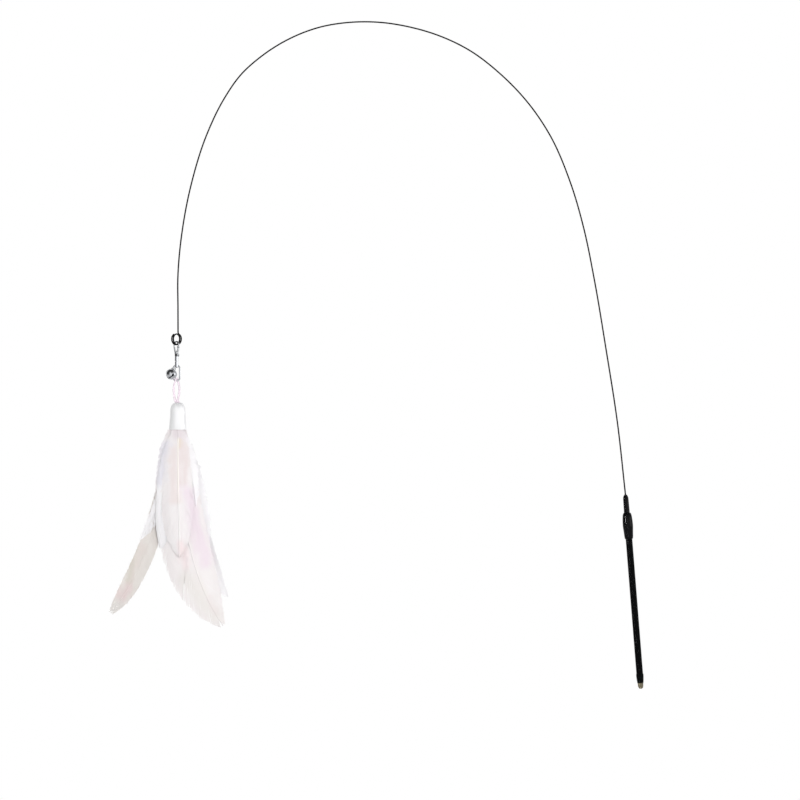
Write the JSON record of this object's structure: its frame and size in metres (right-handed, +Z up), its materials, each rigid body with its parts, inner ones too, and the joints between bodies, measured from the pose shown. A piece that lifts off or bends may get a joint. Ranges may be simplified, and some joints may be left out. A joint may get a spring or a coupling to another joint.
{
  "type": "cat teaser wand",
  "caption": "Wand toy with a short black handle, an arching spring wire and a feather toy that hangs from a swivel clip with a small bell",
  "frame": {"origin": "the middle of the rod where the hand holds it, on the rod's axis", "axes": "+Z up along the height of the arch, +X from the hanging toy towards the handle, +Y away from the viewer, across the plane of the arch"},
  "size_m": [0.3996, 0.0332, 0.5009],
  "materials": {
    "rod_black": "matt black lacquer over a straight rod",
    "cap_black": "matt black moulded sleeve",
    "tip_brown": "grey-brown rounded tip",
    "socket_black": "glossy black moulded barrel",
    "nose_black": "glossy black tube",
    "crimp_brass": "bare brass sleeve",
    "wire_black": "black coated spring steel wire",
    "clip_chrome": "bright chrome plating",
    "pin_steel": "plain steel",
    "bell_chrome": "bright nickel plating with a dark slot",
    "cord_pink": "pale pink braided cord",
    "cap_silver": "satin silver cap",
    "glue_clear": "hot glue",
    "feather_white": "white feather with a pale peach quill",
    "feather_pink": "pink-white feather",
    "feather_lilac": "white feather with a lavender tint",
    "feather_olive": "grey-olive feather with rose patches"
  },
  "bodies": {
    "wand": {"handle_rod": "rod_black", "end_cap": "cap_black", "end_plug": "tip_brown", "wire_socket": "socket_black", "socket_nose": "nose_black", "wire_crimp": "crimp_brass", "spring_wire": "wire_black"},
    "hook": {"clip_hook": "clip_chrome", "gate_pin": "pin_steel", "gate_spring": "pin_steel", "swivel_rivet": "pin_steel"},
    "gate": {"clip_gate": "clip_chrome"},
    "ring": {"swivel_ring": "clip_chrome"},
    "bell": {"bell_ring": "bell_chrome", "bell_loop": "bell_chrome", "bell_top": "bell_chrome", "bell_bottom": "bell_chrome", "bell_pea": "pin_steel"},
    "toy": {"cord_loop": "cord_pink", "cord_knot": "cord_pink", "feather_cap": "cap_silver", "glue_plug": "glue_clear", "feather_1": "feather_white", "feather_2": "feather_pink", "feather_3": "feather_lilac", "feather_4": "feather_lilac", "feather_5": "feather_lilac", "feather_6": "feather_olive", "feather_7": "feather_olive", "feather_8": "feather_lilac", "feather_9": "feather_pink", "feather_10": "feather_white"}
  },
  "joints": [
    {"name": "clip_swing", "type": "hinge", "parent": "wand", "child": "hook", "pos_m": [-0.34341, 0, 0.1968], "axis": [0.6691, 0.7431, 0], "range_deg": [-75, 75]},
    {"name": "gate_open", "type": "hinge", "parent": "hook", "child": "gate", "pos_m": [-0.34303, -0.00035, 0.1889], "axis": [-0.6691, -0.7431, 0], "range_deg": [0, 20], "stiffness_Nm_per_rad": 0.0015, "springref_deg": -17.19, "deforming": ["gate_spring"]},
    {"name": "swivel_spin", "type": "hinge", "parent": "hook", "child": "ring", "pos_m": [-0.34341, 0, 0.1842], "axis": [0, 0, 1], "continuous": true},
    {"name": "toy_swing", "type": "hinge", "parent": "ring", "child": "toy", "pos_m": [-0.34341, 0, 0.16965], "axis": [1, 0, 0], "range_deg": [-60, 60]},
    {"name": "bell_swing", "type": "hinge", "parent": "ring", "child": "bell", "pos_m": [-0.34581, 0, 0.17856], "axis": [-0.9659, 0.2589, 0], "range_deg": [0, 60]}
  ]
}
